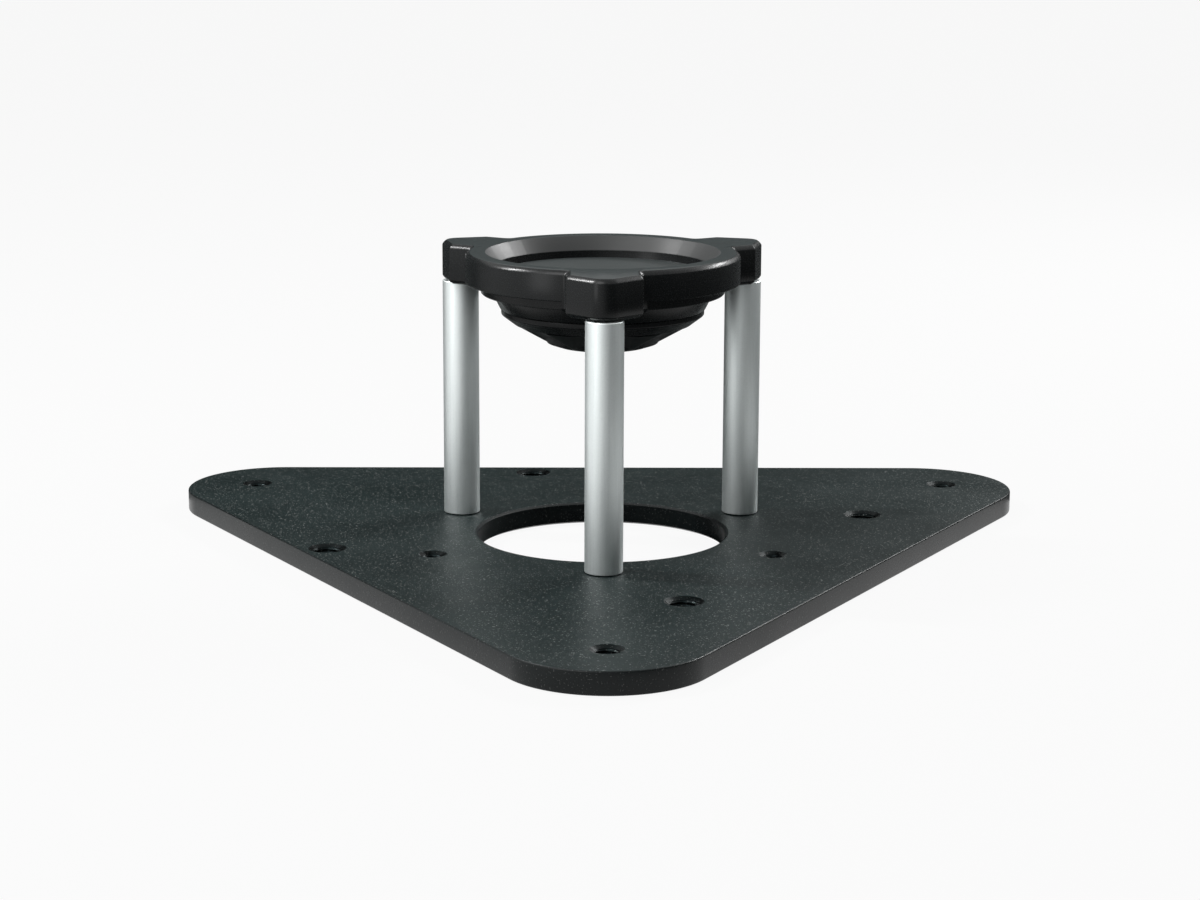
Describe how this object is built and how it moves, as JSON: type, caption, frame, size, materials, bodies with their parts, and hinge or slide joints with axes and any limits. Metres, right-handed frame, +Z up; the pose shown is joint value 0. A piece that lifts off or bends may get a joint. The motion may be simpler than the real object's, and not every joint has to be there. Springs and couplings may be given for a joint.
{
  "type": "low bowl camera mount",
  "caption": "Low camera mount: a levelling bowl with a flat deck and clamp knob, on three rods over a three-cornered base plate.",
  "frame": {"origin": "at the middle of the base plate's length and width, at its underside; the bowl's axis stands 42.8625 mm from there towards +Y", "axes": "+Z up along the bowl's axis, -Y towards the front rod and the plate's front corner, +X to the right seen from the front"},
  "size_m": [0.3808, 0.341, 0.1319],
  "materials": {
    "plate_black": "satin black coat with a fine grain",
    "rod_steel": "matte machined",
    "screw_black": "blackened steel",
    "ring_black": "black anodised, satin",
    "ball_metal": "turned and bare",
    "deck_black": "black anodised, satin",
    "clamp_steel": "turned steel",
    "cup_black": "black anodised, satin",
    "washer_plastic": "plain",
    "knob_black": "satin",
    "bush_brass": "turned"
  },
  "bodies": {
    "stand": {"base_plate": "plate_black", "rod_front": "rod_steel", "rod_left": "rod_steel", "rod_right": "rod_steel", "base_screw_front": "screw_black", "base_screw_left": "screw_black", "base_screw_right": "screw_black", "ear_stud_front": "screw_black", "ear_stud_left": "screw_black", "ear_stud_right": "screw_black", "bowl_ring": "ring_black", "clamp_dome": "clamp_steel", "clamp_rod": "clamp_steel", "retaining_ring": "clamp_steel"},
    "levelling_ball": {"half_ball": "ball_metal", "deck_plate": "deck_black", "deck_screw_1": "screw_black", "deck_screw_2": "screw_black", "deck_screw_3": "screw_black"},
    "cup": {"clamp_cup": "cup_black", "friction_washer": "washer_plastic"},
    "knob": {"hand_knob": "knob_black", "knob_bush": "bush_brass"}
  },
  "joints": [
    {"name": "ball_tilt", "type": "hinge", "parent": "stand", "child": "levelling_ball", "pos_m": [0, 0.04286, 0.13192], "axis": [1, 0, 0], "range_deg": [-8, 8]},
    {"name": "cup_drop", "type": "slide", "parent": "stand", "child": "cup", "axis": [0, 0, -1], "range_m": [0, 0.002]},
    {"name": "knob_turn", "type": "hinge", "parent": "cup", "child": "knob", "pos_m": [0, 0.04286, 0.096], "axis": [0, 0, -1], "range_deg": [0, 480]}
  ],
  "couplings": [
    {"joint": "knob_turn", "follows": "cup_drop", "rad_per_m": 4188.8}
  ]
}
